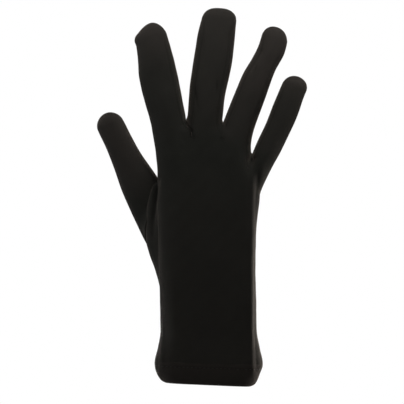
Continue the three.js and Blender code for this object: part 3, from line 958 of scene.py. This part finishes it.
def aroundThumb(rows, dip, shade):
    # palm rows near the thumb laid onto the fillet, with the groove and the painted shade of its seam
    field = fingerField(thumb, rows)
    low, high = thumbLook["nearHole"]
    close = (field > low) & (field < high) & (rows[..., 2] < thumbLook["holeBelow"])
    rows = rows + (settle(rows, rootField) - rows) * (close * filletShare(rows))[..., None]
    beyond = np.maximum(beyondEdge(rows), 0)
    close = close * (1 - smoothStep(*joins["filletEnds"], rows[..., 2]))
    return rows, dip - close * bell(beyond, *thumbLook["holeDip"]), shade + close * seamShade(beyond)


panels = {}
for label, side in (("backPanel", -1), ("palmPanel", 1)):
    grids, maps = [], []
    for name, finger in fingers.items():
        rows = finger["rows", side]
        run, up = rowRun(rows), finger["run"][:, None]
        dip = shade = 0
        for end, far in enumerate((run, run[:, -1:] - run)):
            share = seamShare(finger, end)[:, None]
            dip = dip + (seamRoll(far, up, end) if isOuter(finger, end) else seamDip(far)) * share
            shade = shade + seamShade(far) * share
        if side > 0 and name in ("index", "middle"):
            rows, dip, shade = aroundThumb(rows, dip, shade)
        grids.append(raised(rows, dip, shade, name, up))
        maps.append(stripMap(finger, side, rows))
    points, faces, uv, shades = joinGrids(grids, maps)
    if side > 0:  # what the thumb's tube hides is cut away, as the hole the thumb is set in
        faces = faces[~(beyondEdge(points) < -thumbLook["holeCut"])[faces].all(axis=1)]
    panels[label] = makePiece(label, points, faces, uv, shades, knit, wall=fabric["wall"])
for j, bands in forks.items():
    grids, maps = [], []
    for name, end, rows in zip(names[j - 1:j + 1], (1, 0), bands):
        finger = fingers[name]
        run, above = rowRun(rows), slice(finger["first", end], finger["first", end] + len(rows))
        share = seamShare(finger, end)[above, None]
        dip, shade = [sum(form(far) for far in (run, run[:, -1:] - run)) * share
                      for form in (seamDip, seamShade)]
        up = np.broadcast_to(finger["run"][above, None], run.shape)
        grids.append(raised(rows, dip, shade, name, up))
        maps.append(np.stack([run - run[:, -1:] / 2, up], axis=-1))
    panels["fork", j] = makePiece("fork" + "".join(name.capitalize() for name in names[j - 1:j + 1]),
                                  *joinGrids(grids, maps), knit, wall=fabric["forkWall"])


def makeThumb(look):
    # the tube with a roll and a groove at its seam, and with the slow unevenness of two crossed waves
    x, y, z = np.moveaxis(thumbSkin, -1, 0)
    slow = np.sin(x * 0.3 + z * 0.17) * np.sin(z * 0.21 - y * 0.25 + 0.8)
    run = rowRun(thumbSkin.transpose(1, 0, 2)).T
    dip = bell(run, *look["roll"]) - bell(run, *look["groove"])
    out = dip + reliefLook["unevenness"] * slow + reliefLook["fluff"]
    rows = closed(thumbSkin + outwardOf(thumbSkin, rootField) * out[..., None], 1)
    # painted shade at the thumb's seam, and painted light, partly lint, rising towards its tip
    shade = closed(np.stack([seamShade(run), readTable(paintedLightTables["thumb"], thumbPlace)[0]], axis=-1), 1)
    uv = np.stack([rowShare(rows) * fabric["thumbMap"], closed(thumbPlace, 1)], axis=-1)
    made = joinGrids([(rows, shade)], [uv], lambda p: outwardOf(p, lambda q: fingerField(thumb, q)))
    return makePiece("thumbPiece", *made, knit, wall=fabric["wall"])


panels["thumb"] = makeThumb(thumbLook)
print("panels ready")

# the hem's profile: heights up its outside, and (height, how far in) over its top and round its fold
hemShape = {
    "outer": [2.6, 3.6, 5, 7, 9, 10.6, 11.9, 12.6, 13.1, 13.6, 14.3, 15.2, 15.9, 16.35],
    "outerIn": -0.12, "shoulder": [-0.08, 0, 0.12], "innerIn": 2.4,
    "top": [(16.52, 0.35), (16.6, 0.7), (16.6, 1.7), (16.55, 2.2)],
    "bottom": [(2, 2.2), (1.7, 1.7), (1.6, 1.2), (1.7, 0.7), (2.1, 0.25)],
    "around": 320, "mapWidth": 170, "rollShare": 0.8, "rollsAbove": 16,
    "seamHeight": 13.1, "seam": (0.16, 0.5), "seamShade": (0.3, 0.45),
}


def hemRows(look):
    # a closed profile carried round the wrist: up the outside, over the top, down the inside, round the fold
    outer = np.array(look["outer"])
    count = len(outer)
    inset = np.array([look["outerIn"]] * (count - len(look["shoulder"])) + look["shoulder"])
    inset += bell(outer - look["seamHeight"], *look["seam"])
    inner = np.stack([outer[-2::-1], np.full(count - 1, look["innerIn"])], axis=-1)
    profile = [np.stack([outer, inset], axis=-1), look["top"], inner, look["bottom"]]
    heights, inset = np.concatenate(profile).T
    angle = np.linspace(0, 2 * np.pi, look["around"] + 1)[:-1]
    rows = castRing(heights, np.broadcast_to(angle, (len(heights), look["around"])), handField)
    away = outwardOf(rows, handField) * np.array([1, 1, 0])
    away /= np.linalg.norm(away, axis=-1, keepdims=True)
    roll = bells(rows, reliefLook["creases"])
    for table in seamTables:
        x = readTable(table, np.maximum(heights, look["rollsAbove"]))[0][:, None]
        roll += look["rollShare"] * bell(np.abs(rows[..., 0] - x), *reliefLook["roll"])
    roll[count:] = 0
    roll *= frontShare(away)
    # painted shade along the hem's stitched line, and the wrist's painted light, partly lint, over the whole
    # hem
    shade = np.zeros(rows.shape[:2])
    shade[:count] = bell(outer - look["seamHeight"], *look["seamShade"])[:, None]
    shade = np.stack([shade, np.full(shade.shape, worn["hand"][0][1])], axis=-1)
    return rows - away * (inset[:, None] - reliefLook["fluff"] - roll)[..., None], shade, away


def makeHem(rows, shade, look):
    # the profile's last point joins its first, and so does the last place round the wrist
    rows, shade = [closed(closed(values), 1) for values in (rows, shade)]
    up = rowRun(rows[:, :1].transpose(1, 0, 2)).T
    uv = np.stack([rowShare(rows) * look["mapWidth"], np.broadcast_to(up, rows.shape[:2])], axis=-1)
    normal = np.cross(rows[3, 1] - rows[3, 0], rows[4, 0] - rows[3, 0])
    faces = gridFaces(*rows.shape[:2])
    if normal @ outwardOf(rows[3, :1], handField)[0] <= 0:
        faces = faces[:, ::-1]
    return makePiece("cuffHem", rows.reshape(-1, 3), faces, uv.reshape(-1, 2), shade.reshape(-1, 2),
                     hemKnit, sharpAngle=180)


hemLines, hemShades, hemAway = hemRows(hemShape)
panels["hem"] = makeHem(hemLines, hemShades, hemShape)

stitchLook = {
    "pitch": 2.7, "length": 1.9, "width": 0.2, "endShare": 0.25, "lift": -0.08, "bend": 0.1,
    "rings": 7, "sides": 6, "dark": (0.006, 0.006, 0.0056, 1), "light": (0.018, 0.0175, 0.0165, 1),
    "roughness": 0.6, "specular": 0.2, "twistScale": 2600, "twistDepth": 0.1, "bump": 0.6,
}


def makeThread(look):
    shader = Shader("hemThread")
    twist = shader.noise(look["twistScale"], 2)
    return shader.close("Principled BSDF", {
        "Base Color": shader.mixColour(twist, look["dark"], look["light"]),
        "Roughness": look["roughness"], "Specular IOR Level": look["specular"],
        "Normal": shader.bump(twist * (look["twistDepth"] * millimetre), look["bump"])})


def makeStitches(path, away, look):
    # short bent threads in a row round the path: each is a closed tube that is thickest in its middle
    run = rowRun(closed(path)[None])[0]
    count = int(run[-1] / look["pitch"])
    t, turn = np.linspace(0, 1, look["rings"]), np.linspace(0, 2 * np.pi, look["sides"] + 1)[:-1, None]
    place = np.arange(count)[:, None] * run[-1] / count + t * look["length"]
    middle, outward = [np.stack([np.interp(place, run, closed(line)[:, axis], period=run[-1])
                                 for axis in range(3)], axis=-1) for line in (path, away)]
    arch = np.sin(np.pi * t)
    middle = middle + outward * (look["lift"] + look["bend"] * arch)[:, None]
    radius = look["width"] * (look["endShare"] + (1 - look["endShare"]) * arch ** 0.5)
    spokes = outward[:, :, None] * np.cos(turn) + np.array([0, 0, 1]) * np.sin(turn)
    tubes = middle[:, :, None] + radius[:, None, None] * spokes
    ring, i = look["rings"] * look["sides"], np.arange(look["sides"])
    points = np.concatenate([tubes.reshape(count, ring, 3), tubes.mean(axis=2)[:, [0, -1]]], axis=1)
    caps = np.concatenate([np.stack([np.full_like(i, ring + end), low + i, low + np.roll(i, -1)], axis=-1)
                           for end, low in enumerate((0, ring - look["sides"]))])
    first = (np.arange(count) * (ring + 2))[:, None, None]
    sides = gridFaces(look["rings"], look["sides"], loop=True)
    mesh = bpy.data.meshes.new("hemStitches")
    mesh.from_pydata((points.reshape(-1, 3) * millimetre).tolist(), [],
                     (sides + first).reshape(-1, 4).tolist() + (caps + first).reshape(-1, 3).tolist())
    editMesh(mesh, faceOut)
    mesh.shade_smooth()
    mesh.materials.append(makeThread(look))
    return linkObject("hemStitches", mesh)


hemLevel = int(np.argmin(np.abs(np.subtract(hemShape["outer"], hemShape["seamHeight"]))))
stitches = makeStitches(hemLines[hemLevel], hemAway[hemLevel], stitchLook)
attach(stitches, "root")
print("hem ready")

# the node that each piece stands for, its flat cut in metres, and its area where that isn't the rectangle's
cuts = {
    "backPanel": ("back_panel", (0.116, 0.236), 0.0164), "palmPanel": ("palm_panel", (0.145, 0.236), 0.0203),
    "thumb": ("thumb_piece", (0.078, 0.112), 0.0064), "hem": ("cuff_hem", (0.176, 0.017), None),
    ("fork", 1): ("fork_index_middle", (0.016, 0.165), 0.0023),
    ("fork", 2): ("fork_middle_ring", (0.016, 0.16), 0.0022),
    ("fork", 3): ("fork_ring_little", (0.016, 0.172), 0.0021),
}
for label, (node, flat, area) in cuts.items():
    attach(panels[label], "root")
    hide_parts(node)


def makeStage(look):
    half = look["floorSize"] / 2
    mesh = bpy.data.meshes.new("floor")
    corners = [(-half, -half), (half, -half), (half, half), (-half, half)]
    mesh.from_pydata([(x, y, look["floorHeight"]) for x, y in corners], [], [(0, 1, 2, 3)])
    floor = linkObject("floor", mesh)
    # floor and sky look plain white, as in an overlit studio, and light the glove less than they show
    pale = Shader("paleFloor")
    seen = pale.node("ShaderNodeLightPath")
    plain = pale.node("ShaderNodeBsdfDiffuse", None, {"Color": look["floorColour"]})
    white = pale.node("ShaderNodeEmission", None, {"Strength": 1})
    mixed = pale.node("ShaderNodeMixShader", None, {0: seen, 1: plain, 2: white})
    mesh.materials.append(pale.close("Material Output", {"Surface": mixed}))
    sky = Shader("studio", bpy.data.worlds)
    seen = sky.node("ShaderNodeLightPath")
    strength = sky.node("ShaderNodeMix", None, {"Factor": seen, "A": look["skyLight"], "B": 1})
    bpy.context.scene.world = sky.close("Background", {"Color": (1, 1, 1, 1), "Strength": strength})


def makeLight(name, place, aim, size, power, colour, spread):
    # a soft rectangle of light turned towards a point
    light = bpy.data.lights.new(name, "AREA")
    light.shape, light.size, light.size_y = "RECTANGLE", size[0], size[1]
    light.energy, light.color, light.spread = power, colour, np.radians(spread)
    lamp = linkObject(name, light)
    lamp.location = place
    lamp.visible_camera = False
    lamp.rotation_euler = (Vector(aim) - Vector(place)).to_track_quat("-Z", "Y").to_euler()


for name, values in lightsLook.items():
    makeLight(name, *values)
makeStage(stageLook)
print("stage ready")
bpy.context.view_layer.update()
